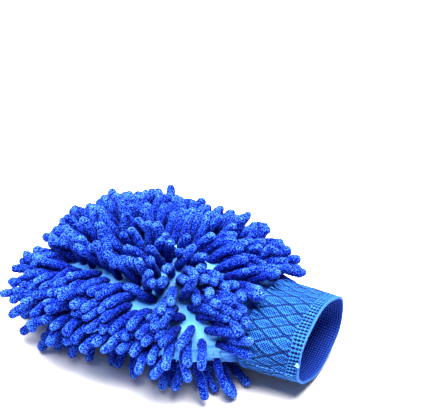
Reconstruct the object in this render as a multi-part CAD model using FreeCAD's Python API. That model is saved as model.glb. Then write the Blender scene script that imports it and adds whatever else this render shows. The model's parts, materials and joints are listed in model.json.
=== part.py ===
import FreeCAD, Part
import math
import os
import random

# A chenille wash mitt, as it lies on a table on the tips of its own fingers. Millimetres, +Z up.
# The origin is on the table under the middle of the mitt's box. The closed end is at -X and the
# wrist opening at +X. Two panels of cloth and two of lining are sewn along side seams that sag
# from SEAM_Z towards the closed end, each panel carries rows of chenille fingers, and an elastic
# cuff is sewn to the gathered neck.

# The pouch, in plan
CLOSED_EDGE_X = -106.0
POUCH_END_X = 66.0
END_HALF_WIDTH = 46.0
BODY_HALF_WIDTH = 70.0
NECK_HALF_WIDTH = 48.5
CORNER_REACH = 45.0
SHOULDER_X = 34.0
SHOULDER_POWER = 1.6
CORNER_POWER = 2.2

# The pouch, from the side
SEAM_Z = 35.0
END_SAG = 6.0
END_SAG_REACH = 80.0
END_HALF_HEIGHT = 4.0
CROWN_HEIGHT = 35.0
CROWN_REACH = 70.0
CROWN_DROP_X = 20.0
BELLY_DEPTH = 9.0
BELLY_REACH = 40.0
BELLY_DROP_X = 34.0
NECK_TOP = 27.5
NECK_DEPTH = 25.5

# The cloth layers: how deep each face lies under the pouch's outer surface
CLOTH_INNER = 1.2
LINING_OUTER = 1.5
LINING_INNER = 2.3
SEAM_GAP = 0.1
STATION_COUNT = 15
TRIM_LENGTH = 4.0

# The gathered neck and the elastic cuff
NECK_CLEARANCE = 0.3
NECK_WALL = 2.4
CUFF_ROOT_X = 78.0
CUFF_LENGTH = 50.0
CUFF_WALL = 1.4
CUFF_ROOT_HALF = (45.0, 28.5)
CUFF_MIDDLE_HALF = (44.5, 29.5)
CUFF_RIM_HALF = (43.0, 30.0)
FLEX_AXIS_X = 72.0
FLEX_DEGREES = (-4.0, 0.0, 7.0, 14.0, 20.0)

# The fingers
FINGER_RADIUS = 3.75
FINGER_LENGTH = 31.0
TOP_ROW_COUNT = 19
BELLY_ROW_COUNT = 14
FIRST_ROW_SETBACK = 6.0
LAST_ROW_SETBACK = 5.0
TOP_PITCH = 9.0
BELLY_PITCH = 12.0
SEAM_MARGIN = 6.0
ROOT_GAP = 0.5
FINGER_GAP = 0.4
TOP_LEAN = 1.2
BELLY_STEEPEST = math.radians(72)
SPLAY_JITTER = 0.07
SEED = 11

# The stitches
STITCH_RADIUS = 0.4
SEAM_STITCH_GAP = 0.3
CUFF_STITCH_GAP = 0.15
SIDE_STITCH_PITCH = 5.0
SIDE_STITCH_LENGTH = 4.0
CUFF_STITCH_COUNT = 56
CUFF_STITCH_LENGTH = 3.4
CLOSING_STITCH_PITCH = 4.0
CLOSING_STITCH_LENGTH = 2.6
CLOSING_SEAM_ANGLE = math.radians(188)

OVAL_POINTS = 13
FAR = 300.0
UP = FreeCAD.Vector(0, 0, 1)
LEAN_CENTRE_X = 0.5 * (CLOSED_EDGE_X + POUCH_END_X) - 3.0


def rise(distance, reach):
    """0 at the closed edge and 1 from reach onwards, rounded like the mitt's corners."""
    left = max(0.0, 1.0 - max(0.0, distance) / reach)
    return 1.0 - left**CORNER_POWER


def swing(x, start, end):
    """0 before start and 1 after end, with an S-curve between."""
    share = min(1.0, max(0.0, (x - start) / (end - start)))
    return 0.5 - 0.5 * math.cos(math.pi * share)


def seam_height(x):
    """The height of the side seams at x: level, but sagging towards the closed end."""
    return SEAM_Z - END_SAG * (1.0 - rise(x - CLOSED_EDGE_X, END_SAG_REACH))


def half_width(x, inset):
    """Half the pouch's width at x, for the surface that lies inset under its outer one."""
    widening = (BODY_HALF_WIDTH - END_HALF_WIDTH) * rise(x - CLOSED_EDGE_X - inset, CORNER_REACH)
    shoulder = swing(x, SHOULDER_X, POUCH_END_X) ** SHOULDER_POWER
    narrowing = (BODY_HALF_WIDTH - NECK_HALF_WIDTH) * shoulder
    return END_HALF_WIDTH + widening - narrowing - inset


def half_height(x, inset, side):
    """The pouch's height above the seam plane (side 1), or its depth below it (side -1)."""
    from_edge = x - CLOSED_EDGE_X - inset
    if side > 0:
        gain = (CROWN_HEIGHT - END_HALF_HEIGHT) * rise(from_edge, CROWN_REACH)
        change = (NECK_TOP - CROWN_HEIGHT) * swing(x, CROWN_DROP_X, POUCH_END_X)
    else:
        gain = (BELLY_DEPTH - END_HALF_HEIGHT) * rise(from_edge, BELLY_REACH)
        change = (NECK_DEPTH - BELLY_DEPTH) * swing(x, BELLY_DROP_X, POUCH_END_X)
    return END_HALF_HEIGHT + gain + change - inset


def half_oval(x, width, height, level):
    """Half an oval across the mitt at x, above level, or below it where height is negative."""
    points = []
    for step in range(OVAL_POINTS):
        angle = math.pi * step / (OVAL_POINTS - 1)
        points.append(FreeCAD.Vector(x, width * math.cos(angle), level + height * math.sin(angle)))
    curve = Part.BSplineCurve()
    curve.interpolate(points)
    return curve.toShape()


def oval_wire(x, width, top, bottom, level=SEAM_Z):
    """A closed oval across the mitt at x: an upper and a lower half that meet at the seams."""
    return Part.Wire([half_oval(x, width, top, level), half_oval(x, width, -bottom, level)])


def loft_stations(inset):
    """Where the pouch's cross-sections stand: close together at the edge, and then even."""
    edge = CLOSED_EDGE_X + inset
    first = CLOSED_EDGE_X + FIRST_ROW_SETBACK
    step = (POUCH_END_X - first) / STATION_COUNT
    even = [first + step * number for number in range(STATION_COUNT + 1)]
    return [edge, 0.5 * (edge + first)] + even + [POUCH_END_X + TRIM_LENGTH]


def pouch_solid(inset):
    """The solid inside one of the pouch's nested surfaces, longer than the pouch at the neck."""
    wires = []
    for x in loft_stations(inset):
        top = half_height(x, inset, 1)
        bottom = half_height(x, inset, -1)
        wires.append(oval_wire(x, half_width(x, inset), top, bottom, seam_height(x)))
    return Part.makeLoft(wires, True, False)


def half_pouch_solid(inset, side):
    """The part of pouch_solid on one side of the seams, and just clear of them."""
    wires = []
    for x in loft_stations(inset):
        level = seam_height(x) + side * SEAM_GAP
        arc = half_oval(x, half_width(x, inset), side * half_height(x, inset, side), level)
        chord = Part.LineSegment(arc.valueAt(arc.FirstParameter), arc.valueAt(arc.LastParameter))
        wires.append(Part.Wire([arc, chord.toShape()]))
    return Part.makeLoft(wires, True, False)


def panel(outer_inset, inner_inset, side):
    """One half of one cloth layer: side 1 is the top panel, side -1 the bottom one."""
    layer = half_pouch_solid(outer_inset, side).cut(pouch_solid(inner_inset))
    trim = Part.makeBox(FAR, FAR, FAR, FreeCAD.Vector(POUCH_END_X, -FAR / 2, -FAR / 2))
    return layer.cut(trim).Solids[0]


def row_stations(count):
    """The x of each row of fingers on one panel, from the closed end to the neck."""
    first = CLOSED_EDGE_X + FIRST_ROW_SETBACK
    pitch = (POUCH_END_X - LAST_ROW_SETBACK - first) / (count - 1)
    return [first + pitch * row for row in range(count)]


def oval_tube(ovals, wall):
    """A tube through ovals given as (x, half width, top, bottom), with walls that thick."""
    outer = Part.makeLoft([oval_wire(*oval) for oval in ovals], True, False)
    inside = []
    for x, width, top, bottom in ovals:
        inside.append(oval_wire(x, width - wall, top - wall, bottom - wall))
    return outer.cut(Part.makeLoft(inside, True, False)).Solids[0]


def neck_gather():
    """The gathered ends of the cloth and the lining, between the pouch and the cuff."""
    width, height = CUFF_ROOT_HALF
    start = POUCH_END_X + NECK_CLEARANCE
    end = CUFF_ROOT_X - NECK_CLEARANCE
    ovals = [
        (start, NECK_HALF_WIDTH, NECK_TOP, NECK_DEPTH),
        (end, width, height, height),
    ]
    return oval_tube(ovals, NECK_WALL)


def cuff_half_sizes(x):
    """The cuff's half width and half height at x, on the curve through its three sizes."""
    share = (x - CUFF_ROOT_X) / CUFF_LENGTH
    weights = (
        (2 * share - 1) * (share - 1),
        4 * share * (1 - share),
        share * (2 * share - 1),
    )
    sizes = (CUFF_ROOT_HALF, CUFF_MIDDLE_HALF, CUFF_RIM_HALF)
    return [sum(weight * size[axis] for weight, size in zip(weights, sizes)) for axis in (0, 1)]


def cuff_band():
    """The elastic band, an open tube that narrows and rounds out towards its rim."""
    ovals = []
    for share in (0.0, 0.25, 0.5, 0.75, 1.0):
        x = CUFF_ROOT_X + share * CUFF_LENGTH
        width, height = cuff_half_sizes(x)
        ovals.append((x, width, height, height))
    return oval_tube(ovals, CUFF_WALL)


def capsule(start, direction, radius, length):
    """A round-ended rod. start is the centre of its first round end, length its full length."""
    straight = length - 2 * radius
    bottom = FreeCAD.Vector(0, 0, -radius)
    top = FreeCAD.Vector(0, 0, straight + radius)
    low_side = FreeCAD.Vector(radius, 0, 0)
    high_side = FreeCAD.Vector(radius, 0, straight)
    slant = radius * math.sqrt(0.5)
    low_middle = FreeCAD.Vector(slant, 0, -slant)
    high_middle = FreeCAD.Vector(slant, 0, straight + slant)
    edges = [
        Part.Arc(bottom, low_middle, low_side).toShape(),
        Part.LineSegment(low_side, high_side).toShape(),
        Part.Arc(high_side, high_middle, top).toShape(),
        Part.LineSegment(top, bottom).toShape(),
    ]
    rod = Part.Face(Part.Wire(edges)).revolve(FreeCAD.Vector(0, 0, 0), UP, 360)
    rod.Placement = FreeCAD.Placement(start, FreeCAD.Rotation(UP, direction))
    return rod


def surface_point(x, angle, side):
    """A point on the pouch's outer surface. Angle 0 and pi are the side seams."""
    y = half_width(x, 0.0) * math.cos(angle)
    z = seam_height(x) + side * half_height(x, 0.0, side) * math.sin(angle)
    return FreeCAD.Vector(x, y, z)


def surface_normal(x, angle, side):
    """The pouch's outward normal at surface_point."""
    step = 0.01
    along_x = surface_point(x + step, angle, side) - surface_point(x - step, angle, side)
    around = surface_point(x, angle + step, side) - surface_point(x, angle - step, side)
    normal = along_x.cross(around)
    outward = FreeCAD.Vector(0, math.cos(angle), side * math.sin(angle))
    if normal.dot(outward) < 0:
        normal = -normal
    return normal.normalize()


def root_angles(x, side, pitch, shifted):
    """Evenly spaced places across the panel at x, half a pitch over in every other row."""
    steps = 240
    angles = [math.pi * step / steps for step in range(steps + 1)]
    lengths = [0.0]
    for before, after in zip(angles, angles[1:]):
        gap = surface_point(x, after, side) - surface_point(x, before, side)
        lengths.append(lengths[-1] + gap.Length)
    usable = lengths[-1] - 2 * SEAM_MARGIN
    count = int(usable / pitch) + 1
    if (count % 2 == 0) != shifted:
        count -= 1
    first = 0.5 * (lengths[-1] - (count - 1) * pitch)
    places = []
    for number in range(count):
        wanted = first + number * pitch
        step = next(k for k, length in enumerate(lengths) if length >= wanted)
        places.append(angles[step])
    return places


def outward_lean(point):
    """How far, and which way, a finger at this point leans away from the mitt's middle."""
    half_length = 0.5 * (POUCH_END_X - CLOSED_EDGE_X)
    return FreeCAD.Vector((point.x - LEAN_CENTRE_X) / half_length, point.y / BODY_HALF_WIDTH, 0)


def top_direction(point, normal, lean_share, dice):
    """Fingers on top stand up from the cloth and fan out towards the mitt's edges."""
    wobble = FreeCAD.Vector(dice.uniform(-1, 1), dice.uniform(-1, 1), dice.uniform(-1, 1))
    spread = normal + outward_lean(point) * TOP_LEAN * lean_share
    return (spread.normalize() + wobble * SPLAY_JITTER * lean_share).normalize()


def belly_direction(start, lean_share, dice):
    """Fingers underneath are pressed outwards until their tips rest on the table."""
    outward = outward_lean(start)
    heading = math.atan2(outward.y, outward.x) + dice.uniform(-1, 1) * SPLAY_JITTER * lean_share
    drop = max(0.0, start.z - FINGER_RADIUS)
    reach = FINGER_LENGTH - 2 * FINGER_RADIUS
    slope = min(BELLY_STEEPEST, math.asin(min(1.0, drop / reach)))
    level = math.cos(slope)
    return FreeCAD.Vector(level * math.cos(heading), level * math.sin(heading), -math.sin(slope))


def nearest_gap(one, other):
    """The distance between the middle lines of two fingers, each given as (start, end)."""
    line_one = one[1] - one[0]
    line_other = other[1] - other[0]
    between = one[0] - other[0]
    a, e, b = line_one.dot(line_one), line_other.dot(line_other), line_one.dot(line_other)
    c, f = line_one.dot(between), line_other.dot(between)
    flat = a * e - b * b
    share = 0.0 if flat < 1e-9 else min(1.0, max(0.0, (b * f - c * e) / flat))
    share_other = min(1.0, max(0.0, (b * share + f) / e))
    share = min(1.0, max(0.0, (b * share_other - c) / a))
    return (one[0] + line_one * share - other[0] - line_other * share_other).Length


def hits_pouch(line):
    """Whether a finger's outer part runs back into the pouch or its neck."""
    room = FINGER_RADIUS + ROOT_GAP
    for share in (0.4, 0.6, 0.8, 1.0):
        point = line[0] + (line[1] - line[0]) * share
        if not CLOSED_EDGE_X - room < point.x < CUFF_ROOT_X + room:
            continue
        x = min(point.x, POUCH_END_X)
        level = seam_height(x)
        side = 1 if point.z > level else -1
        across = point.y / (half_width(x, 0.0) + room)
        up = (point.z - level) / (half_height(x, 0.0, side) + room)
        if across**2 + up**2 < 1:
            return True
    return False


def hits_cuff(line):
    """Whether a finger is in the cuff's way anywhere over its travel."""
    pivot = FreeCAD.Vector(FLEX_AXIS_X, 0, SEAM_Z)
    room = FINGER_RADIUS + 1.0
    for degrees in FLEX_DEGREES:
        turn = FreeCAD.Rotation(FreeCAD.Vector(0, 1, 0), degrees)
        for share in (0.0, 0.2, 0.4, 0.6, 0.8, 1.0):
            point = pivot + turn.multVec(line[0] + (line[1] - line[0]) * share - pivot)
            if not CUFF_ROOT_X - room < point.x < CUFF_ROOT_X + CUFF_LENGTH + room:
                continue
            x = min(max(point.x, CUFF_ROOT_X), CUFF_ROOT_X + CUFF_LENGTH)
            width, height = cuff_half_sizes(x)
            across = point.y / (width + room)
            up = (point.z - SEAM_Z) / (height + room)
            if across**2 + up**2 < 1:
                return True
    return False


def finger_line(x, angle, side, placed, dice):
    """The middle line of one finger that clears all others, or None where none fits."""
    normal = surface_normal(x, angle, side)
    start = surface_point(x, angle, side) + normal * (FINGER_RADIUS + ROOT_GAP)
    if start.z < FINGER_RADIUS:
        return None
    for lean_share in (1.0, 0.6, 0.3, 0.0):
        if side > 0:
            direction = top_direction(start, normal, lean_share, dice)
        else:
            direction = belly_direction(start, lean_share, dice)
        line = (start, start + direction * (FINGER_LENGTH - 2 * FINGER_RADIUS))
        apart = 2 * FINGER_RADIUS + FINGER_GAP
        if line[1].z < FINGER_RADIUS - 0.01 or hits_pouch(line) or hits_cuff(line):
            continue
        if all(nearest_gap(line, other) > apart for other in placed):
            return line
    return None


def finger_rows():
    """The middle lines of every finger, as lists keyed by the name of their row."""
    dice = random.Random(SEED)
    placed = []
    rows = {}
    faces = (
        (-1, "bottom_fingers_row", BELLY_ROW_COUNT, BELLY_PITCH),
        (1, "top_fingers_row", TOP_ROW_COUNT, TOP_PITCH),
    )
    for side, name, count, pitch in faces:
        for number, x in enumerate(row_stations(count), start=1):
            row = []
            for angle in root_angles(x, side, pitch, number % 2 == 0):
                line = finger_line(x, angle, side, placed, dice)
                if line:
                    placed.append(line)
                    row.append(line)
            rows[f"{name}_{number:02d}"] = row
    return rows


def finger_row(lines):
    """One row's fingers: the loops of one strand of chenille, knitted into the cloth."""
    rods = []
    for start, end in lines:
        rods.append(capsule(start, end - start, FINGER_RADIUS, FINGER_LENGTH))
    return Part.makeCompound(rods)


def side_seam_stitches():
    """Upright stitches that join the top and bottom panels all round the pouch."""
    outline = [(CLOSED_EDGE_X, END_HALF_WIDTH * share / 10) for share in range(11)]
    steps = 150
    for step in range(1, steps + 1):
        x = CLOSED_EDGE_X + (POUCH_END_X - CLOSED_EDGE_X) * step / steps
        outline.append((x, half_width(x, 0.0)))
    offset = STITCH_RADIUS + SEAM_STITCH_GAP
    stitches = []
    travelled = SIDE_STITCH_PITCH / 2
    for (x, y), (next_x, next_y) in zip(outline, outline[1:]):
        length = math.hypot(next_x - x, next_y - y)
        travelled += length
        if travelled < SIDE_STITCH_PITCH:
            continue
        travelled -= SIDE_STITCH_PITCH
        out_x, out_y = -(next_y - y) / length, (next_x - x) / length
        for side in (-1, 1):
            low = seam_height(next_x) - SIDE_STITCH_LENGTH / 2 + STITCH_RADIUS
            start = FreeCAD.Vector(next_x + out_x * offset, side * (next_y + out_y * offset), low)
            stitches.append(capsule(start, UP, STITCH_RADIUS, SIDE_STITCH_LENGTH))
    return Part.makeCompound(stitches)


def on_cuff(x, angle, lift):
    """A point at this lift above the cuff's outer face."""
    width, height = cuff_half_sizes(x)
    y = (width + lift) * math.cos(angle)
    return FreeCAD.Vector(x, y, SEAM_Z + (height + lift) * math.sin(angle))


def cuff_attaching_stitches():
    """A zigzag line of stitches round the cuff's root, where it is sewn to the neck."""
    lift = STITCH_RADIUS + CUFF_STITCH_GAP
    near = CUFF_ROOT_X + 1.0
    far = near + CUFF_STITCH_LENGTH
    stitches = []
    for number in range(CUFF_STITCH_COUNT):
        angle = 2 * math.pi * number / CUFF_STITCH_COUNT
        next_angle = angle + 0.5 * math.pi / CUFF_STITCH_COUNT
        start = on_cuff(near, angle, lift)
        end = on_cuff(far, next_angle, lift)
        length = (end - start).Length + 2 * STITCH_RADIUS
        stitches.append(capsule(start, end - start, STITCH_RADIUS, length))
    return Part.makeCompound(stitches)


def cuff_closing_stitches():
    """The stitches that close the elastic band into a ring, in a line along its side."""
    lift = STITCH_RADIUS + CUFF_STITCH_GAP
    start_x = CUFF_ROOT_X + 1.0 + 2 * CUFF_STITCH_LENGTH
    end_x = CUFF_ROOT_X + CUFF_LENGTH - 1.0
    count = int((end_x - start_x) / CLOSING_STITCH_PITCH)
    reach = CLOSING_STITCH_LENGTH - 2 * STITCH_RADIUS
    stitches = []
    for number in range(count):
        x = start_x + number * CLOSING_STITCH_PITCH
        start = on_cuff(x, CLOSING_SEAM_ANGLE, lift)
        end = on_cuff(x + reach, CLOSING_SEAM_ANGLE, lift)
        stitches.append(capsule(start, end - start, STITCH_RADIUS, CLOSING_STITCH_LENGTH))
    return Part.makeCompound(stitches)


def wash_mitt():
    """Every piece of the mitt, keyed by its name."""
    pieces = {
        "top_panel": panel(0.0, CLOTH_INNER, 1),
        "bottom_panel": panel(0.0, CLOTH_INNER, -1),
        "top_lining": panel(LINING_OUTER, LINING_INNER, 1),
        "bottom_lining": panel(LINING_OUTER, LINING_INNER, -1),
        "side_seam_stitches": side_seam_stitches(),
        "neck_gather": neck_gather(),
        "cuff_band": cuff_band(),
        "cuff_attaching_stitches": cuff_attaching_stitches(),
        "cuff_closing_stitches": cuff_closing_stitches(),
    }
    for name, lines in finger_rows().items():
        if lines:
            pieces[name] = finger_row(lines)
    return pieces


os.makedirs("parts", exist_ok=True)
PIECES = wash_mitt()
for name, shape in PIECES.items():
    shape.exportStep(os.path.join("parts", name + ".step"))
    box = shape.BoundBox
    low = [round(value, 1) for value in (box.XMin, box.YMin, box.ZMin)]
    high = [round(value, 1) for value in (box.XMax, box.YMax, box.ZMax)]
    print(name, len(shape.Solids), "solids", round(shape.Volume), "mm3", low, high, shape.isValid())
whole = Part.makeCompound(list(PIECES.values())).BoundBox
print("low corner", [round(value, 2) for value in (whole.XMin, whole.YMin, whole.ZMin)])
print("high corner", [round(value, 2) for value in (whole.XMax, whole.YMax, whole.ZMax)])
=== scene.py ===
"""A chenille wash mitt lying on its fingers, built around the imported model. Metres, +Z up.

The cloth, the lining, the gathered neck, the elastic cuff and every finger are new meshes that stand
where their CAD nodes are. The stitches are the CAD's own, and the knot on the cuff's rim is extra. The
fingers are relaxed against each other, the cloth, the cuff and the floor before their pile is modelled.
"""

import json
import math

import bpy
import numpy as np
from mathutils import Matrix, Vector
from mathutils.bvhtree import BVHTree


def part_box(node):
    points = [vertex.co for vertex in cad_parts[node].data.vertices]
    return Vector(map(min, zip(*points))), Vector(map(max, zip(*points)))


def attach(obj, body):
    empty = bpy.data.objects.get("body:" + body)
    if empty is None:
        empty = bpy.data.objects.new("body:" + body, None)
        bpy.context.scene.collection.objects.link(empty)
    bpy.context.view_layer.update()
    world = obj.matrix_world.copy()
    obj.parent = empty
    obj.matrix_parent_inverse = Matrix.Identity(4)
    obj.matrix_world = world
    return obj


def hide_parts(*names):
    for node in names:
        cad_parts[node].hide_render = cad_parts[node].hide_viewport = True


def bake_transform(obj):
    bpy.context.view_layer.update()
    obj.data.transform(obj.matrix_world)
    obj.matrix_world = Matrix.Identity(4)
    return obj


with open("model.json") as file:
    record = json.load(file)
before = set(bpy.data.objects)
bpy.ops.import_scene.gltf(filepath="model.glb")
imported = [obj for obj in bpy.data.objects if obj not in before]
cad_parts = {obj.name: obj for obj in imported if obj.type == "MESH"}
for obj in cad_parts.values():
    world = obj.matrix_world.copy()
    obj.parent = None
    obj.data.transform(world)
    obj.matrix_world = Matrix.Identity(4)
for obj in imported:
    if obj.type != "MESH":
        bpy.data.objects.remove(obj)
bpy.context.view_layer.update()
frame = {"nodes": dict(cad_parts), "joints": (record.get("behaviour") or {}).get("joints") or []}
NODES = frame["nodes"]
JOINT = frame["joints"][0]
PIVOT = np.array(JOINT["pos_m"], float)
DICE = np.random.default_rng(20)

# Fingers: how each one lies before anything is in its way
FINGER_RADIUS = 0.00375
FINGER_LENGTH = 0.031
LENGTH_SPREAD = 0.09
SPINE_POINTS = 9
WOBBLE = 0.17
BEND = 0.42
BEND_CENTRE = 0.35
BASE_LIFT = 0.7
SAG = 0.38

# Fingers: how they settle against each other and their surroundings. FREEDOM runs from root to tip and
# is kept within 0 and 1, so the roots stay where they are
RELAX_STEPS = 130
FREEDOM = (-0.1, 1.3)
RETURN_RATE = 0.07
PUSH_RATE = 1.6
EVENING_RATE = 0.25
SEARCH_REACH = 3.2 * FINGER_RADIUS
SEARCH_EVERY = 8
SEARCH_BLOCK = 400
TOUCH_RADIUS = 0.97 * FINGER_RADIUS
CLOTH_CLEARANCE = 0.92 * FINGER_RADIUS
CLEAR_FROM = 0.3
CUFF_CLEARANCE = 0.0016
CUFF_MARGIN = 0.004
SWING_STEPS = 4
FLOOR_CLEARANCE = 1.02 * FINGER_RADIUS
FLOOR_CONTACT = 0.0002

# Fingers: their pile. Heights are shares of the radius, and each lump is (height, pitch, times round)
PILE_RADIUS = 0.0036
SIZE_SPREAD = 0.05
BODY_RINGS = 54
CAP_RINGS = 7
SIDES = 14
BASE_SIZE = 0.68
BASE_END = 0.2
BARREL_HEIGHT = 0.06
BARREL_PITCH = 0.017
LUMPS = ((0.035, 0.0061, 2), (0.03, 0.0043, -3))
RING_HEIGHT = 0.045
RING_PITCH = 0.0019
RING_TILT = 0.9
TUFT_HEIGHT = 0.022

# Cloth
CLOTH_THICKNESS = 0.0012
LINING_INSET = 0.0015
LINING_THICKNESS = 0.0008
STITCH_OFFSET = 0.0007
CLOSED_EDGE = 0.0022
CLOSED_EDGE_FOLDS = (0.0, 0.35, 0.7, 0.9)
RIPPLE_HEIGHT = 0.0007
ROOT_LIFT = 0.0013
ROOT_SPREAD = 0.0045
ROOT_BLOCK = 2000
PLEATS = 34
PLEAT_DEPTH = 0.0016
PLEAT_DRIFT = 0.8
PLEAT_START = 0.022
PLEAT_FULL = 0.004
NECK_GAP = 0.0005
NECK_OVERLAP = 0.003
CREASE_LENGTH = 0.026
CREASE_DEPTH = 0.0024
CREASE_ANGLE = math.radians(168)
CREASE_WIDTH = 0.045
CREASE_RISE = 0.006
CREASE_FALL = 0.004

# Cuff
CUFF_WALL = 0.0014
WELT_WIDTH = 0.0010
WELT_EDGE = 0.0006
BORDER_WIDTH = 0.0098
BORDER_EDGE = 0.0003
RIB_PITCH = 0.0031
DASH_PITCH = 0.0028
ZIGZAG_PITCH = 0.0056
ZIGZAG_SWING = 0.0025
ZIGZAG_PERIOD = 0.0235
ZIGZAG_WIDTH = 0.0009
DIAMOND_SIZE = 0.0016
DIAMOND_SLOPE = 0.42
DIAMOND_WIDTH = 0.0006
BEAD_PLACE = 0.0017
BEAD_WIDTH = 0.0006
DOT_PITCH = 0.0022
LINE_PITCH = 0.0020
CLOSING_ANGLE = math.radians(188)
PINCH_START = 0.015
CORNER_HEIGHT = 0.0020
CORNER_SPREAD = 0.20
HOLLOW_DEPTH = 0.0010
HOLLOW_SPREAD = 0.75
WELT_HEIGHT = 0.0004
GROOVE_DEPTH = 0.0004
BEAD_HEIGHT = 0.00015
WEAVE_DEPTH = 0.0002
CUFF_SAG = 0.0008
PATTERN_DRIFT = (0.0008, 0.0018)
KNOT_ANGLE = math.radians(168)
KNOT_INSET = 0.0012
KNOT_SIZE = 0.00045
KNOT_THREAD = 0.0005

# Where the fingers part and show the cloth: lines of (share of the pouch's length from its closed
# end, share of its half width), each with how strongly the fingers lean away from it, and from how far
PARTINGS = (
    (((0.50, 0.22), (0.66, 0.10), (0.80, 0.00), (0.88, -0.04)), 1.0, 0.011),
    (((0.22, -0.44), (0.36, -0.50), (0.55, -0.58), (0.70, -0.66)), 1.0, 0.012),
    (((0.84, -0.72), (0.96, -0.80)), 1.5, 0.016),
)

# How the top fingers are combed: places in the same shares, each with the lean of the fingers there
COMBED = (
    ((0.05, 0.0), (0.10, 0.00, -0.50)),
    ((0.30, -0.9), (-0.50, -0.45, -0.25)),
    ((0.65, -0.9), (-0.85, -0.30, -0.15)),
    ((1.00, -0.9), (1.00, -0.10, -0.25)),
    ((1.00, 0.0), (0.80, 0.00, 0.00)),
    ((0.45, 0.1), (-0.40, 0.35, 0.25)),
    ((0.35, 0.8), (-0.20, 0.40, 0.20)),
    ((0.75, 0.8), (0.15, 0.40, 0.10)),
    ((1.00, 0.6), (0.80, 0.05, -0.45)),
)
COMB_REACH = 0.25

# How the lowest top fingers droop over the seam: from and to these shares of the panel's height, and
# only at the back or near the closed end
SEAM_DROOP = 1.1
DROOP_FROM = 0.55
DROOP_FULL = 0.2
DROOP_REACH = 0.02
CLOSED_END_FROM = 0.05
CLOSED_END_FULL = 0.02

# How the lower fingers spread outwards, also within this distance of the neck
SPLAY = 0.5
SPLAY_REACH = 0.05


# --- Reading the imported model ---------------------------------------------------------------


def vertices_of(obj):
    """An object's vertices as rows of x, y, z."""
    found = np.zeros(len(obj.data.vertices) * 3)
    obj.data.vertices.foreach_get("co", found)
    return found.reshape(-1, 3)


def loose_parts(obj):
    """The vertices of each separate solid in a node."""
    points = vertices_of(obj)
    keys = np.round(points * 1e6).astype(np.int64)
    first, merged = np.unique(keys, axis=0, return_index=True, return_inverse=True)[1:]
    edges = np.zeros(len(obj.data.edges) * 2, np.int32)
    obj.data.edges.foreach_get("vertices", edges)
    one, other = merged.ravel()[edges.reshape(-1, 2)].T
    label = np.arange(len(first))
    while True:
        lowest = np.minimum(label[one], label[other])
        update = label.copy()
        np.minimum.at(update, one, lowest)
        np.minimum.at(update, other, lowest)
        update = update[update]
        if np.array_equal(update, label):
            break
        label = update
    unique_points = points[first]
    return [unique_points[label == name] for name in np.unique(label)]


def tree_of(name):
    """A search tree of one CAD node's surface."""
    mesh = NODES[name].data
    return BVHTree.FromPolygons([v.co for v in mesh.vertices], [p.vertices for p in mesh.polygons])


def hit(tree, start, direction):
    """Where a ray first meets a surface, or None."""
    return tree.ray_cast(Vector(start), Vector(direction))[0]


def measured_sections():
    """The pouch's half width, seam height, height and depth at stations along it."""
    stitches = [part.mean(axis=0) for part in loose_parts(NODES["side_seam_stitches"])]
    side = np.array(sorted((p[0], p[1], p[2]) for p in stitches if p[1] > 0))
    low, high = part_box("top_panel")
    top_tree, bottom_tree = tree_of("top_panel"), tree_of("bottom_panel")
    stations = np.linspace(low.x + 1e-4, high.x - 1e-4, 60)
    rows = []
    for x in stations:
        width = np.interp(x, side[:, 0], side[:, 1]) - STITCH_OFFSET
        level = np.interp(x, side[:, 0], side[:, 2])
        crown = hit(top_tree, (x, 0, 1), (0, 0, -1)).z
        belly = hit(bottom_tree, (x, 0, -1), (0, 0, 1)).z
        rows.append((x, width, level, crown - level, level - belly))
    rows[-1] = (rows[-1][0], rows[-1][1], PIVOT[2], rows[-1][3], rows[-1][4])
    return np.array(rows)


def measured_cuff():
    """The cuff's outer half width and half height at stations along it."""
    low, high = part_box("cuff_band")
    tree = tree_of("cuff_band")
    middle = 0.5 * (low.z + high.z)
    rows = []
    for x in np.linspace(low.x + 1e-4, high.x - 1e-4, 20):
        width = hit(tree, (x, 1, middle), (0, -1, 0)).y
        height = hit(tree, (x, 0, 1), (0, 0, -1)).z - middle
        rows.append((x, width, height))
    return np.array(rows)


SECTIONS = measured_sections()
CUFF_SECTIONS = measured_cuff()
POUCH_START, POUCH_END = SECTIONS[0, 0], SECTIONS[-1, 0]
CUFF_START, CUFF_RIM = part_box("cuff_band")[0].x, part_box("cuff_band")[1].x
AXIS_Z = 0.5 * (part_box("cuff_band")[0].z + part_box("cuff_band")[1].z)


def pouch_size(x):
    """The pouch's half width, seam height, height and depth at each x."""
    return [np.interp(x, SECTIONS[:, 0], SECTIONS[:, column]) for column in (1, 2, 3, 4)]


def cuff_size(x):
    """The cuff's half width and half height at each x."""
    return [np.interp(x, CUFF_SECTIONS[:, 0], CUFF_SECTIONS[:, column]) for column in (1, 2)]


def smooth(value, start, end):
    """0 before start and 1 after end, with a smooth step between."""
    share = np.clip((value - start) / (end - start), 0, 1)
    return share * share * (3 - 2 * share)


def unit(vectors):
    """Vectors of length 1."""
    return vectors / np.maximum(np.linalg.norm(vectors, axis=-1, keepdims=True), 1e-12)


# --- Fingers: how they lie ------------------------------------------------------------------


def pouch_field(points):
    """Below 0 inside the pouch and above 0 outside it, and 0 on its surface."""
    width, level, height, depth = pouch_size(points[..., 0])
    up = points[..., 2] - level
    reach = np.where(up > 0, height, depth)
    return np.hypot(points[..., 1] / width, up / reach) - 1


def cuff_field(points):
    """The same for the cuff, as if it went on a little way into the neck."""
    width, height = cuff_size(points[..., 0])
    return np.hypot(points[..., 1] / width, (points[..., 2] - AXIS_Z) / height) - 1


def distance_and_normal(field, points):
    """The distance to a field's surface and its outward normal, near that surface."""
    step = 1e-4
    slope = np.empty_like(points)
    for axis in range(3):
        offset = np.zeros(3)
        offset[axis] = step
        slope[..., axis] = (field(points + offset) - field(points - offset)) / (2 * step)
    steepness = np.linalg.norm(slope, axis=-1)
    return field(points) / np.maximum(steepness, 1e-6), unit(slope)


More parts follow.
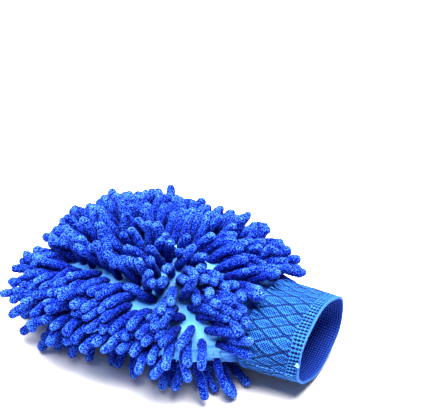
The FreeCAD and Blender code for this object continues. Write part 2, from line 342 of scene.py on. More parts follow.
def read_fingers():
    """Each CAD finger's row, root and direction. The root is on the cloth under its first end."""
    rows, starts, directions = [], [], []
    for name in sorted(n for n in NODES if "fingers_row" in n):
        for part in loose_parts(NODES[name]):
            middle = part.mean(axis=0)
            axis = np.linalg.svd(part - middle, full_matrices=False)[2][0]
            along = (part - middle) @ axis
            ends = part[along.argmin()], part[along.argmax()]
            if pouch_field(ends[0]) > pouch_field(ends[1]):
                ends = ends[::-1]
            direction = unit(ends[1] - ends[0])
            rows.append(name)
            starts.append(ends[0] + direction * FINGER_RADIUS)
            directions.append(direction)
    return rows, np.array(starts), np.array(directions)


def parting_lean(roots):
    """How far the partings push each finger over, as a vector in plan."""
    lean = np.zeros_like(roots)
    length = POUCH_END - POUCH_START
    half = SECTIONS[:, 1].max()
    for line, strength, reach in PARTINGS:
        dense = np.linspace(0, len(line) - 1, 60)
        path = np.array(line)
        x = POUCH_START + length * np.interp(dense, np.arange(len(line)), path[:, 0])
        y = half * np.interp(dense, np.arange(len(line)), path[:, 1])
        gap = roots[:, None, :2] - np.stack([x, y], -1)[None]
        distance = np.linalg.norm(gap, axis=-1)
        nearest = distance.argmin(axis=1)
        away = gap[np.arange(len(roots)), nearest]
        share = np.exp(-((distance.min(axis=1) / reach) ** 2))
        lean[:, :2] += strength * share[:, None] * unit(away)
    return lean


def comb_lean(roots):
    """The combed lean of each finger, blended from the places in COMBED."""
    along = (roots[:, 0] - POUCH_START) / (POUCH_END - POUCH_START)
    across = roots[:, 1] / SECTIONS[:, 1].max()
    total = np.zeros(len(roots))
    lean = np.zeros_like(roots)
    for (place_along, place_across), amount in COMBED:
        gap = np.hypot(along - place_along, 0.5 * (across - place_across))
        share = np.exp(-((gap / COMB_REACH) ** 2))
        total += share
        lean += share[:, None] * np.array(amount)
    return lean / total[:, None]


def seam_droop(roots):
    """How far the lowest fingers hang over the side seam, at the back and round the closed end."""
    level, height = pouch_size(roots[:, 0])[1:3]
    low = smooth((roots[:, 2] - level) / height, DROOP_FROM, DROOP_FULL)
    at_back = smooth(roots[:, 1], 0.0, DROOP_REACH)
    at_closed_end = smooth(roots[:, 0], POUCH_START + CLOSED_END_FROM, POUCH_START + CLOSED_END_FULL)
    return np.outer(low * np.maximum(at_back, at_closed_end), (0, 0, -SEAM_DROOP))


def edge_splay(roots):
    """How far the lower fingers spread at the edges and at the neck, where the mitt presses them out."""
    across = roots[:, 1] / SECTIONS[:, 1].max()
    along = smooth(roots[:, 0], POUCH_END - SPLAY_REACH, POUCH_END)
    return SPLAY * (np.outer(across * np.abs(across), (0, 1, 0)) + np.outer(along, (1, 0, 0)))


def rest_shapes(roots, normals, directions, is_top):
    """The spine that each finger would take with nothing in its way."""
    count = len(roots)
    wobble = DICE.normal(size=(count, 3)) * WOBBLE
    bend = DICE.normal(size=(count, 3)) * BEND
    lengths = FINGER_LENGTH * (1 + DICE.uniform(-1, 1, count) * LENGTH_SPREAD) - FINGER_RADIUS
    lean = (parting_lean(roots) + comb_lean(roots) + seam_droop(roots)) * is_top[:, None]
    lean += edge_splay(roots) * (1 - is_top[:, None])
    aim = unit(directions + wobble + lean)
    bend -= aim * np.sum(bend * aim, axis=1, keepdims=True)
    shares = np.linspace(0, 1, SPINE_POINTS)
    spines = np.empty((count, SPINE_POINTS, 3))
    spines[:, 0] = roots
    for step in range(1, SPINE_POINTS):
        share = shares[step]
        heading = aim + normals * BASE_LIFT * (1 - share) ** 2 + bend * (share - BEND_CENTRE)
        heading[:, 2] -= SAG * share * is_top
        gap = (lengths / (SPINE_POINTS - 1))[:, None]
        spines[:, step] = spines[:, step - 1] + unit(heading) * gap
    return spines, lengths


def near_pairs(points, owner, reach):
    """Every two points of different fingers that are closer than reach."""
    one_list, other_list = [], []
    for start in range(0, len(points), SEARCH_BLOCK):
        block = points[start : start + SEARCH_BLOCK]
        distance = np.linalg.norm(block[:, None] - points[None], axis=-1)
        one, other = np.nonzero(distance < reach)
        one += start
        keep = (one < other) & (owner[one] != owner[other])
        one_list.append(one[keep])
        other_list.append(other[keep])
    return np.concatenate(one_list), np.concatenate(other_list)


def push_apart(points, one, other, weight):
    """Moves points that are closer than two radii apart, each by its share."""
    gap = points[one] - points[other]
    distance = np.linalg.norm(gap, axis=1)
    overlap = np.maximum(0, 2 * TOUCH_RADIUS - distance)
    total = np.maximum(weight[one] + weight[other], 1e-6)
    move = gap / np.maximum(distance, 1e-9)[:, None] * (overlap / total * 0.5)[:, None]
    change = np.zeros_like(points)
    hits = np.zeros(len(points))
    np.add.at(change, one, move * weight[one][:, None])
    np.add.at(change, other, -move * weight[other][:, None])
    np.add.at(hits, one, overlap > 0)
    np.add.at(hits, other, overlap > 0)
    return points + change / np.maximum(1, hits)[:, None] * PUSH_RATE


def push_out(points, field, inside_range, clearance, weight):
    """Moves points that are nearer to a surface than clearance out along its normal."""
    distance, normal = distance_and_normal(field, points)
    short = np.clip(clearance - distance, 0, clearance) * inside_range * weight
    return points + normal * short[:, None]


def turned(points, degrees):
    """Points turned about the joint's axis."""
    angle = math.radians(degrees) * JOINT["axis"][1]
    local = points - PIVOT
    x = local[:, 0] * math.cos(angle) + local[:, 2] * math.sin(angle)
    z = -local[:, 0] * math.sin(angle) + local[:, 2] * math.cos(angle)
    return np.stack([x, local[:, 1], z], -1) + PIVOT


def clear_cuff(points, weight):
    """Keeps points outside the cuff, wherever its joint can swing it."""
    low, high = JOINT["range_deg"]
    for degrees in np.linspace(low, high, SWING_STEPS):
        local = turned(points, -degrees)
        within = (local[:, 0] > CUFF_START - CUFF_MARGIN) & (local[:, 0] < CUFF_RIM + CUFF_MARGIN)
        local = push_out(local, cuff_field, within, FINGER_RADIUS + CUFF_CLEARANCE, weight)
        points = turned(local, degrees)
    return points


def relax(spines, rest, lengths, weight_along):
    """Settles the fingers so that none runs through another, the cloth, the cuff or the floor."""
    count = len(spines)
    owner = np.repeat(np.arange(count), SPINE_POINTS)
    weight = np.tile(weight_along, count)
    gap = (lengths / (SPINE_POINTS - 1))[:, None]
    clearance = np.tile(np.linspace(0, 1, SPINE_POINTS) > CLEAR_FROM, count) * CLOTH_CLEARANCE
    steps = RELAX_STEPS
    for step in range(steps):
        spines = spines + (rest - spines) * RETURN_RATE * weight_along[None, :, None]
        points = spines.reshape(-1, 3)
        if step % SEARCH_EVERY == 0:
            one, other = near_pairs(points, owner, SEARCH_REACH)
        points = push_apart(points, one, other, weight)
        on_pouch = (points[:, 0] > POUCH_START) & (points[:, 0] < CUFF_START)
        points = push_out(points, pouch_field, on_pouch, clearance, weight)
        points = clear_cuff(points, weight)
        points[:, 2] = np.maximum(points[:, 2], FLOOR_CLEARANCE)
        spines = points.reshape(count, SPINE_POINTS, 3)
        middle = 0.5 * (spines[:, :-2] + spines[:, 2:]) - spines[:, 1:-1]
        spines[:, 1:-1] += EVENING_RATE * middle * weight_along[None, 1:-1, None]
        for point in range(1, SPINE_POINTS):
            link = spines[:, point] - spines[:, point - 1]
            spines[:, point] = spines[:, point - 1] + unit(link) * gap
    return spines


# --- Fingers: their pile --------------------------------------------------------------------


def along_spines(spines, shares):
    """Points and directions at these shares of each spine, on smooth curves through its points."""
    spots = shares * (SPINE_POINTS - 1)
    first = np.minimum(spots.astype(int), SPINE_POINTS - 2)
    t = (spots - first)[None, :, None]
    padded = np.concatenate(
        [2 * spines[:, :1] - spines[:, 1:2], spines, 2 * spines[:, -1:] - spines[:, -2:-1]], axis=1
    )
    p0, p1, p2, p3 = (padded[:, first + offset] for offset in range(4))
    place = 0.5 * (
        2 * p1 + (p2 - p0) * t + (2 * p0 - 5 * p1 + 4 * p2 - p3) * t**2 + (3 * p1 - p0 - 3 * p2 + p3) * t**3
    )
    heading = 0.5 * (
        (p2 - p0) + 2 * (2 * p0 - 5 * p1 + 4 * p2 - p3) * t + 3 * (3 * p1 - p0 - 3 * p2 + p3) * t**2
    )
    return place, unit(heading)


def pile_surface(spines, lengths):
    """The rings of vertices of every finger: a lumpy, ringed strand with a round end."""
    count = len(spines)
    body = np.linspace(0, 1, BODY_RINGS)
    cap = np.sin(np.linspace(0, math.pi / 2, CAP_RINGS + 1))[1:]
    shares = np.concatenate([body, np.ones(CAP_RINGS)])
    place, heading = along_spines(spines, shares)
    past = np.concatenate([np.zeros(BODY_RINGS), cap * FINGER_RADIUS])
    place = place + heading * past[None, :, None]
    roundness = np.concatenate([np.ones(BODY_RINGS), np.sqrt(np.maximum(0, 1 - cap**2))])
    narrowing = BASE_SIZE + (1 - BASE_SIZE) * smooth(shares, 0.0, BASE_END)
    profile = roundness * narrowing

    around = np.linspace(0, 2 * math.pi, SIDES, endpoint=False)
    distance = lengths[:, None, None] * shares[None, :, None] + past[None, :, None]
    phase = DICE.uniform(0, 2 * math.pi, (count, 1, 6))
    turn = 2 * math.pi * distance
    barrel = 1 + BARREL_HEIGHT * np.sin(turn / BARREL_PITCH + phase[..., 0:1])
    lumps = 0
    for number, (height, pitch, times) in enumerate(LUMPS, 1):
        lumps = lumps + height * np.sin(turn / pitch + times * around + phase[..., number, None])
    tilt = RING_TILT * np.sin(around + phase[..., 3:4])
    rings = RING_HEIGHT * np.cos(turn / RING_PITCH + tilt + phase[..., 4:5])
    tufts = DICE.normal(size=(count, len(shares), SIDES)) * TUFT_HEIGHT
    scale = 1 + DICE.uniform(-SIZE_SPREAD, SIZE_SPREAD, (count, 1, 1))
    radius = PILE_RADIUS * scale * (barrel + lumps + rings + tufts) * profile[None, :, None]

    reference = np.cross(heading[:, :1], [0.31, 0.17, 0.93])
    side = unit(reference - heading * np.sum(reference * heading, axis=-1, keepdims=True))
    across = np.cross(heading, side)
    circle = side[:, :, None] * np.cos(around)[:, None] + across[:, :, None] * np.sin(around)[:, None]
    surface = place[:, :, None] + circle * radius[..., None]
    surface[..., 2] = np.maximum(surface[..., 2], FLOOR_CONTACT)
    return surface


def ring_shares():
    """How far along its finger each ring is, from 0 at the cloth to 1 at the tip."""
    return np.concatenate([np.linspace(0, 0.9, BODY_RINGS), np.linspace(0.92, 1, CAP_RINGS - 1)])


def finger_faces():
    """The faces of one finger: rings of quads, a base and a tip fan."""
    rings = BODY_RINGS + CAP_RINGS - 1
    ring, side = np.meshgrid(np.arange(rings - 1), np.arange(SIDES), indexing="ij")
    after = (side + 1) % SIDES
    quads = np.stack(
        [ring * SIDES + side, ring * SIDES + after, (ring + 1) * SIDES + after, (ring + 1) * SIDES + side], -1
    ).reshape(-1, 4)
    last = (rings - 1) * SIDES
    tip = rings * SIDES
    sides = np.arange(SIDES)
    fan = np.stack([last + sides, last + (sides + 1) % SIDES, np.full(SIDES, tip)], -1)
    base = np.stack([(sides + 1) % SIDES, sides, np.full(SIDES, tip + 1)], -1)
    return quads, np.concatenate([fan, base])


def mesh_object(name, points, quads, triangles, material):
    """A smooth-shaded mesh object."""
    mesh = bpy.data.meshes.new(name)
    faces = quads.tolist() + triangles.tolist()
    mesh.from_pydata(points.tolist(), [], faces)
    mesh.polygons.foreach_set("use_smooth", [True] * len(mesh.polygons))
    mesh.materials.append(material)
    mesh.update()
    obj = bpy.data.objects.new(name, mesh)
    bpy.context.scene.collection.objects.link(obj)
    return obj


def make_fingers(material):
    """One piece for each CAD row of fingers."""
    rows, starts, directions = read_fingers()
    distance, normals = distance_and_normal(pouch_field, starts)
    roots = starts - normals * distance[:, None]
    is_top = np.array([row.startswith("top") for row in rows], float)
    rest, lengths = rest_shapes(roots, normals, directions, is_top)
    weight_along = np.clip(np.linspace(*FREEDOM, SPINE_POINTS), 0, 1)
    spines = relax(rest.copy(), rest, lengths, weight_along)
    surface = pile_surface(spines, lengths)
    tips = surface[:, -1].mean(axis=1)
    quads, triangles = finger_faces()
    rings = BODY_RINGS + CAP_RINGS - 1
    pieces = []
    for name in sorted(set(rows)):
        points, row_quads, row_triangles = [], [], []
        for number in (k for k, row in enumerate(rows) if row == name):
            first = len(points) * (rings * SIDES + 2)
            base = spines[number, 0][None]
            points.append(np.concatenate([surface[number, :rings].reshape(-1, 3), tips[number][None], base]))
            row_quads.append(quads + first)
            row_triangles.append(triangles + first)
        row = mesh_object(
            name.replace("fingers", "chenille"),
            np.concatenate(points),
            np.concatenate(row_quads),
            np.concatenate(row_triangles),
            material,
        )
        fingers = len(points)
        # from_cloth runs from 0 at the cloth to 1 at the tip, and the pile material uses it to paint shade
        # that is darker towards the roots
        rises = np.concatenate([np.repeat(ring_shares(), SIDES), [1.0, 0.0]])
        add_values(row, "from_cloth", np.tile(rises, fingers))
        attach(row, "mitt")
        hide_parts(name)
        pieces.append(row)
    return pieces, roots


# --- Cloth ----------------------------------------------------------------------------------


def waves(x, angle, seed):
    """A slow random ripple, from about -1 to 1."""
    dice = np.random.default_rng(seed)
    total = np.zeros(np.broadcast(x, angle).shape)
    for _ in range(7):
        along, about, phase = dice.uniform(20, 110), dice.integers(1, 7), dice.uniform(0, 6.28)
        total = total + np.sin(x * along + about * angle + phase)
    return total / 3.5


def crease(x, angle):
    """The depth of the fold that runs into the neck above the front seam."""
    start = POUCH_END - CREASE_LENGTH
    along = smooth(x, start, start + CREASE_RISE) * smooth(x, POUCH_END, POUCH_END - CREASE_FALL)
    return CREASE_DEPTH * along * np.exp(-(((angle - CREASE_ANGLE) / CREASE_WIDTH) ** 2))


def cloth_points(x, angle, inset, seed, roots=None):
    """Points of a cloth surface at each x and angle; angles above pi are on the bottom panel.

    The cloth rises a little at the fingers' roots, where they are given.
    """
    width, level, height, depth = pouch_size(x)
    reach = np.where(np.sin(angle) >= 0, height, depth)
    y, z = np.cos(angle), np.sin(angle)
    neck = smooth(x, POUCH_END - PLEAT_START, POUCH_END + PLEAT_FULL)
    pleat = 0.5 - 0.5 * np.cos(PLEATS * angle + PLEAT_DRIFT * np.sin(3 * angle + seed))
    ripple = RIPPLE_HEIGHT * waves(x, angle, seed) * (1 - neck) * np.abs(z)
    lift = ripple - PLEAT_DEPTH * pleat * neck - crease(x, angle) - inset
    tucked = smooth(x, POUCH_END, CUFF_START)
    cuff_width, cuff_height = cuff_size(np.full_like(x, CUFF_START))
    room = CUFF_WALL + NECK_GAP
    half_y = (width - inset) * (1 - tucked) + (cuff_width - room - inset) * tucked
    half_z = (reach - inset) * (1 - tucked) + (cuff_height - room - inset) * tucked
    points = np.stack([x, (half_y + lift + inset) * y, level + (half_z + lift + inset) * z], -1)
    if roots is not None:
        flat = points.reshape(-1, 3)
        centres = np.stack([flat[:, 0], 0 * flat[:, 0], pouch_size(flat[:, 0])[1]], -1)
        out = unit(flat - centres)
        nearest = np.full(len(flat), 1.0)
        for start in range(0, len(flat), ROOT_BLOCK):
            block = flat[start : start + ROOT_BLOCK]
            distance = np.linalg.norm(block[:, None] - roots[None], axis=-1)
            nearest[start : start + ROOT_BLOCK] = distance.min(axis=1)
        pull = ROOT_LIFT * np.exp(-((nearest / ROOT_SPREAD) ** 2))
        points = (flat + out * pull[:, None]).reshape(points.shape)
    return points


def shell(name, outer, inner, closed, material):
    """A closed mesh between two grids of points, with their edges joined. closed wraps column 0."""
    rows, columns = outer.shape[:2]
    points = np.concatenate([outer.reshape(-1, 3), inner.reshape(-1, 3)])
    offset = rows * columns
    spans = columns if closed else columns - 1
    row, column = np.meshgrid(np.arange(rows - 1), np.arange(spans), indexing="ij")
    after = (column + 1) % columns
    corners = [row * columns + column, row * columns + after]
    corners += [(row + 1) * columns + after, (row + 1) * columns + column]
    skin = np.stack(corners, -1).reshape(-1, 4)
    quads = [skin, skin[:, ::-1] + offset]
    spots = np.arange(spans)
    for edge, turn in ((0, -1), (rows - 1, 1)):
        line = edge * columns + spots
        next_line = edge * columns + (spots + 1) % columns
        quads.append(np.stack([line, next_line, next_line + offset, line + offset], -1)[:, ::-turn])
    if not closed:
        lines = np.arange(rows - 1) * columns
        for edge, turn in ((0, 1), (columns - 1, -1)):
            line = lines + edge
            corners = [line, line + columns, line + columns + offset, line + offset]
            quads.append(np.stack(corners, -1)[:, ::-turn])
    return mesh_object(name, points, np.concatenate(quads), np.zeros((0, 3), int), material)


def panel_grid(start_angle, inset, seed, roots=None, rows=150, columns=110):
    """One panel from the closed edge, which is rounded off, to the end of the pouch."""
    spots = np.linspace(POUCH_START + inset, POUCH_END, rows)
    angles = start_angle + np.linspace(0, math.pi, columns)
    x, angle = np.meshgrid(spots, angles, indexing="ij")
    grid = cloth_points(x, angle, inset, seed, roots)
    level = pouch_size(spots[:1])[1]
    folds = []
    for share in CLOSED_EDGE_FOLDS:
        ring = grid[0].copy()
        ring[:, 2] = level + (ring[:, 2] - level) * math.sin(share * math.pi / 2)
        ring[:, 0] -= CLOSED_EDGE * math.cos(share * math.pi / 2)
        folds.append(ring)
    return np.concatenate([np.array(folds), grid])


def make_cloth(material, lining_material, roots):
    """The two panels, the two halves of the lining and the gathered neck."""
    made = []
    for name, start, seed in (("top", 0.0, 3), ("bottom", math.pi, 5)):
        outer = panel_grid(start, 0.0, seed, roots)
        inner = panel_grid(start, CLOTH_THICKNESS, seed)
        cloth = shell(name + "_cloth", outer, inner, False, material)
        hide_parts(name + "_panel")
        outer = panel_grid(start, LINING_INSET, seed + 1)
        inner = panel_grid(start, LINING_INSET + LINING_THICKNESS, seed + 1)
        lining = shell(name + "_lining_cloth", outer, inner, False, lining_material)
        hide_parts(name + "_lining")
        made += [cloth, lining]
    rows, columns = 26, 400
    spots = np.linspace(POUCH_END, CUFF_START + NECK_OVERLAP, rows)
    angles = np.linspace(0, 2 * math.pi, columns, endpoint=False)
    x, angle = np.meshgrid(spots, angles, indexing="ij")
    outer = cloth_points(x, angle, 0.0, 3)
    inner = cloth_points(x, angle, LINING_INSET + LINING_THICKNESS, 3)
    neck = shell("gathered_neck", outer, inner, True, material)
    add_values(neck, "inside", np.concatenate([smooth(x, POUCH_END, CUFF_START).ravel(), 1 + 0 * x.ravel()]))
    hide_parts("neck_gather")
    made.append(neck)
    for piece in made:
        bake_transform(piece)
    return made


# --- Cuff -----------------------------------------------------------------------------------


def soft_zigzag(value):
    """A zigzag from -1 to 1 with a period of 1 and slightly rounded corners."""
    sharp = 4 * np.abs(value - np.floor(value + 0.5)) - 1
    return 0.6 * sharp - 0.4 * np.cos(2 * math.pi * value)


def diamond_gap(around, along):
    """The distance round the cuff to the nearest of the zigzag lines, which close into diamonds."""
    lane = np.floor(around / ZIGZAG_PITCH + 0.5)
    swing = ZIGZAG_SWING * soft_zigzag(along / ZIGZAG_PERIOD)
    gap = np.full(around.shape, 1.0)
    for step in (-1, 0, 1):
        mirror = np.where(np.mod(lane + step, 2) == 0, 1.0, -1.0)
        gap = np.minimum(gap, np.abs(around - (lane + step) * ZIGZAG_PITCH - mirror * swing))
    return gap


def ridge(distance, place, width):
    """1 at this distance from a line, fading to 0 within about the width."""
    return np.exp(-(((distance - place) / width) ** 2))


def knit_pattern(around, along):
    """The cuff's grooves and raised stitches at each place, each from 0 to 1."""
    from_rim = (CUFF_RIM - CUFF_START) - along
    beads = 0.5 + 0.5 * np.cos(2 * math.pi * along / DOT_PITCH)
    gap = diamond_gap(around, along)
    column = np.abs(np.mod(around / ZIGZAG_PITCH, 1) - 0.5) * ZIGZAG_PITCH
    row_shift = np.where(np.mod(np.floor(around / ZIGZAG_PITCH), 2) == 0, 0.25, 0.75)
    row = np.abs(np.mod(along / ZIGZAG_PERIOD + row_shift, 1) - 0.5) * ZIGZAG_PERIOD
    diamond = ridge(column + DIAMOND_SLOPE * row, DIAMOND_SIZE, DIAMOND_WIDTH)
    groove = ridge(gap, 0, ZIGZAG_WIDTH) * (0.7 + 0.3 * beads)
    groove = np.maximum(groove, 0.8 * diamond * (0.5 + 0.5 * beads))
    raised = ridge(gap, BEAD_PLACE, BEAD_WIDTH) * beads
    rib = smooth(np.cos(2 * math.pi * around / RIB_PITCH), -0.5, 0.2)
    dash = smooth(np.cos(2 * math.pi * (from_rim - WELT_WIDTH) / DASH_PITCH), 0.8, 0.3)
    in_border = smooth(from_rim, BORDER_WIDTH + BORDER_EDGE, BORDER_WIDTH - BORDER_EDGE)
    edge = smooth(from_rim, WELT_WIDTH, WELT_WIDTH + WELT_EDGE)
    groove = (groove * (1 - in_border) + rib * dash * in_border) * edge
    raised = (raised * (1 - in_border) + (1 - rib) * (1 - 0.6 * dash) * in_border) * edge
    return groove, raised * (1 - groove)


def rim_pinch(x, angle):
    """How far the band stands out at its closing seam, where its rim makes a corner."""
    from_seam = np.abs(np.mod(angle - CLOSING_ANGLE + math.pi, 2 * math.pi) - math.pi)
    opening = smooth(x, CUFF_START + PINCH_START, CUFF_RIM)
    corner = CORNER_HEIGHT * np.exp(-((from_seam / CORNER_SPREAD) ** 2))
    hollow = HOLLOW_DEPTH * np.exp(-((from_seam / HOLLOW_SPREAD) ** 2))
    return opening * (corner - hollow)


def make_cuff(material):
    """The elastic band: a welt at the rim, a ribbed border and a pattern of diamonds."""
    rows, columns = 100, 500
    spots = np.linspace(CUFF_START, CUFF_RIM, rows)
    angles = np.linspace(0, 2 * math.pi, columns, endpoint=False)
    x, angle = np.meshgrid(spots, angles, indexing="ij")
    width, height = cuff_size(x)
    steps = np.hypot(np.diff(width[0] * np.cos(angle[0])), np.diff(height[0] * np.sin(angle[0])))
    around = np.concatenate([[0], np.cumsum(steps)])
    loop = around[-1] + steps[0]
    lanes = 2 * round(loop / (2 * ZIGZAG_PITCH))
    around = np.broadcast_to(around * lanes * ZIGZAG_PITCH / loop, x.shape)
    along = x - CUFF_START
    drift_around, drift_along = PATTERN_DRIFT
    groove, raised = knit_pattern(
        around + drift_around * waves(x, angle, 12), along + drift_along * waves(x, angle, 13)
    )
    from_rim = CUFF_RIM - x
    welt = np.exp(-(((from_rim - 0.5 * WELT_WIDTH) / (0.6 * WELT_WIDTH)) ** 2))
    sag = CUFF_SAG * waves(x * 0.6, angle, 9) + rim_pinch(x, angle)
    weave = 0.5 + 0.5 * np.cos(2 * math.pi * along / LINE_PITCH)
    faces = []
    for lift in (
        sag + WELT_HEIGHT * welt - GROOVE_DEPTH * groove + BEAD_HEIGHT * raised,
        sag - CUFF_WALL - WEAVE_DEPTH * weave - 0.75 * WELT_HEIGHT * welt,
    ):
        y = (width + lift) * np.cos(angle)
        faces.append(np.stack([x, y, AXIS_Z + (height + lift) * np.sin(angle)], -1))
    cuff = shell("elastic_cuff", faces[0], faces[1], True, material)
    for name, outside, inside in (
        ("groove", groove, 1 - weave),
        ("raised", raised, weave),
        ("inside", 0 * x, 1 + 0 * x),
        ("welt", welt, 0.5 * welt),
        ("around", around, around),
        ("along", along, along),
    ):
        add_values(cuff, name, np.concatenate([outside.ravel(), inside.ravel()]))
    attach(cuff, "cuff")
    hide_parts("cuff_band")
    return cuff


def make_knot(material):
    """The knotted end of the closing seam's thread, on the rim."""
    turn = np.linspace(0, 2 * math.pi, 72, endpoint=False)
    along = np.sin(turn) + 2 * np.sin(2 * turn)
    around = 1.3 * (np.cos(turn) - 2 * np.cos(2 * turn))
    out = 1.1 - np.sin(3 * turn)
    width, height = CUFF_SECTIONS[-1, 1:]
    radial = np.array([0, math.cos(KNOT_ANGLE), math.sin(KNOT_ANGLE)])
    tangent = np.array([0, -math.sin(KNOT_ANGLE), math.cos(KNOT_ANGLE)])
    place = np.array([CUFF_RIM - KNOT_INSET, 0, AXIS_Z]) + radial * (0, width, height)
    loops = np.outer(along, (1, 0, 0)) + np.outer(around, tangent) + np.outer(out, radial)
    path = place + KNOT_SIZE * loops
    heading = unit(np.roll(path, -1, axis=0) - np.roll(path, 1, axis=0))
    side = unit(np.cross(heading, radial))
    across = np.cross(heading, side)
    circle = np.linspace(0, 2 * math.pi, 8, endpoint=False)[:, None]
    tube = path[:, None] + KNOT_THREAD * (side[:, None] * np.cos(circle) + across[:, None] * np.sin(circle))
    ring, spot = np.meshgrid(np.arange(len(turn)), np.arange(len(circle)), indexing="ij")
    next_ring, next_spot = (ring + 1) % len(turn), (spot + 1) % len(circle)
    corners = [(ring, spot), (ring, next_spot), (next_ring, next_spot), (next_ring, spot)]
    quads = np.stack([a * len(circle) + b for a, b in corners], -1).reshape(-1, 4)
    knot = mesh_object("thread_knot", tube.reshape(-1, 3), quads, np.zeros((0, 3), int), material)
    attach(knot, "cuff")


def add_values(obj, name, values):
    """One number for each vertex, which materials can read."""
    layer = obj.data.attributes.new(name, "FLOAT", "POINT")
    layer.data.foreach_set("value", np.asarray(values, np.float32).ravel())


# --- Materials ------------------------------------------------------------------------------

INNER_NAVY = (0.005, 0.035, 0.28)


class Nodes:
    """Short ways to build a material's node tree."""

    def __init__(self, name, roughness, sheen, sheen_tint):
        self.material = bpy.data.materials.new(name)
        self.material.use_nodes = True
        self.tree = self.material.node_tree
        self.shader = self.tree.nodes["Principled BSDF"]
        self.shader.inputs["Roughness"].default_value = roughness
        self.shader.inputs["Sheen Weight"].default_value = sheen
        self.shader.inputs["Sheen Roughness"].default_value = 0.45
        self.shader.inputs["Sheen Tint"].default_value = (*sheen_tint, 1)
        self.shader.inputs["Specular IOR Level"].default_value = 0.12

    def node(self, kind, **settings):
        made = self.tree.nodes.new(kind)
        for key, value in settings.items():
            setattr(made, key, value)
        return made

    def link(self, source, target):
        self.tree.links.new(source, target)

    def place(self):
        return self.node("ShaderNodeTexCoord").outputs["Object"]

    def noise(self, scale, detail=2.0):
        made = self.node("ShaderNodeTexNoise")
        made.inputs["Scale"].default_value = scale
        made.inputs["Detail"].default_value = detail
        self.link(self.place(), made.inputs["Vector"])
        return made.outputs["Fac"]

    def cells(self, scale):
        made = self.node("ShaderNodeTexVoronoi")
        made.inputs["Scale"].default_value = scale
        self.link(self.place(), made.inputs["Vector"])
        return made.outputs["Distance"]

    def value(self, name):
        return self.node("ShaderNodeAttribute", attribute_name=name).outputs["Fac"]

    def math(self, operation, one, other):
        made = self.node("ShaderNodeMath", operation=operation)
        for socket, source in zip(made.inputs, (one, other)):
            if isinstance(source, (int, float)):
                socket.default_value = source
            else:
                self.link(source, socket)
        return made.outputs[0]

    def ramp(self, source, stops):
        made = self.node("ShaderNodeValToRGB")
        bar = made.color_ramp
        while len(bar.elements) < len(stops):
            bar.elements.new(0.5)
        for element, (position, colour) in zip(bar.elements, stops):
            element.position = position
            element.color = (*colour, 1)
        self.link(source, made.inputs["Fac"])
        return made.outputs["Color"]

    def mix(self, share, one, other, blend="MIX"):
        made = self.node("ShaderNodeMix", data_type="RGBA", blend_type=blend)
        for socket, source in ((made.inputs[0], share), (made.inputs[6], one), (made.inputs[7], other)):
            if isinstance(source, (int, float)):
                socket.default_value = source
            elif isinstance(source, tuple):
                socket.default_value = (*source, 1)
            else:
                self.link(source, socket)
        return made.outputs[2]

    def finish(self, colour, height, depth, strength=1.0):
        self.link(colour, self.shader.inputs["Base Color"])
        bump = self.node("ShaderNodeBump")
        bump.inputs["Distance"].default_value = depth
        bump.inputs["Strength"].default_value = strength
        self.link(height, bump.inputs["Height"])
        self.link(bump.outputs["Normal"], self.shader.inputs["Normal"])
        return self.material


def pile_material():
    """Chenille: a painted highlight on the tuft ends over painted shade in the gaps between them, painted
    shade towards each finger's root, and a little colour change from place to place.
    """
    made = Nodes("chenille_pile", 0.95, 0.16, (0.25, 0.6, 1.0))
    # The same cells give the tufts' bump and their colour. The colour is painted light: a painted highlight
    # on each tuft's end and painted shade in the gaps between tufts
    tufts = made.math("SUBTRACT", 1.0, made.cells(950))
    slow = made.math("MULTIPLY", made.noise(70), 0.5)
    # Painted shade: the pile is painted darker towards each finger's root at the cloth, where the fingers
    # shade each other, and a little lighter at the tip
    deep = made.math("MULTIPLY", made.math("SUBTRACT", made.value("from_cloth"), 0.75), 0.4)
    tone = made.math("ADD", made.math("ADD", tufts, deep), made.math("SUBTRACT", slow, 0.27))
    colour = made.ramp(
        tone,
        [
            (0.13, (0.0, 0.0, 0.07)),
            (0.40, (0.0, 0.011, 0.29)),
            (0.61, (0.016, 0.076, 0.60)),
            (0.88, (0.13, 0.34, 1.0)),
        ],
    )
    return made.finish(colour, tufts, 0.0009, 0.7)


def cloth_material(name, deep, light):
    """Smooth knitted base cloth, with fine loops."""
    made = Nodes(name, 0.85, 0.1, (0.6, 0.8, 1.0))
    loops = made.cells(1900)
    slow = made.noise(45)
    tone = made.math("ADD", made.math("MULTIPLY", slow, 0.8), made.math("MULTIPLY", loops, -0.25))
    outside = made.ramp(tone, [(0.15, deep), (0.6, light)])
    colour = made.mix(made.value("inside"), outside, INNER_NAVY)
    return made.finish(colour, loops, 0.0002, 0.5)


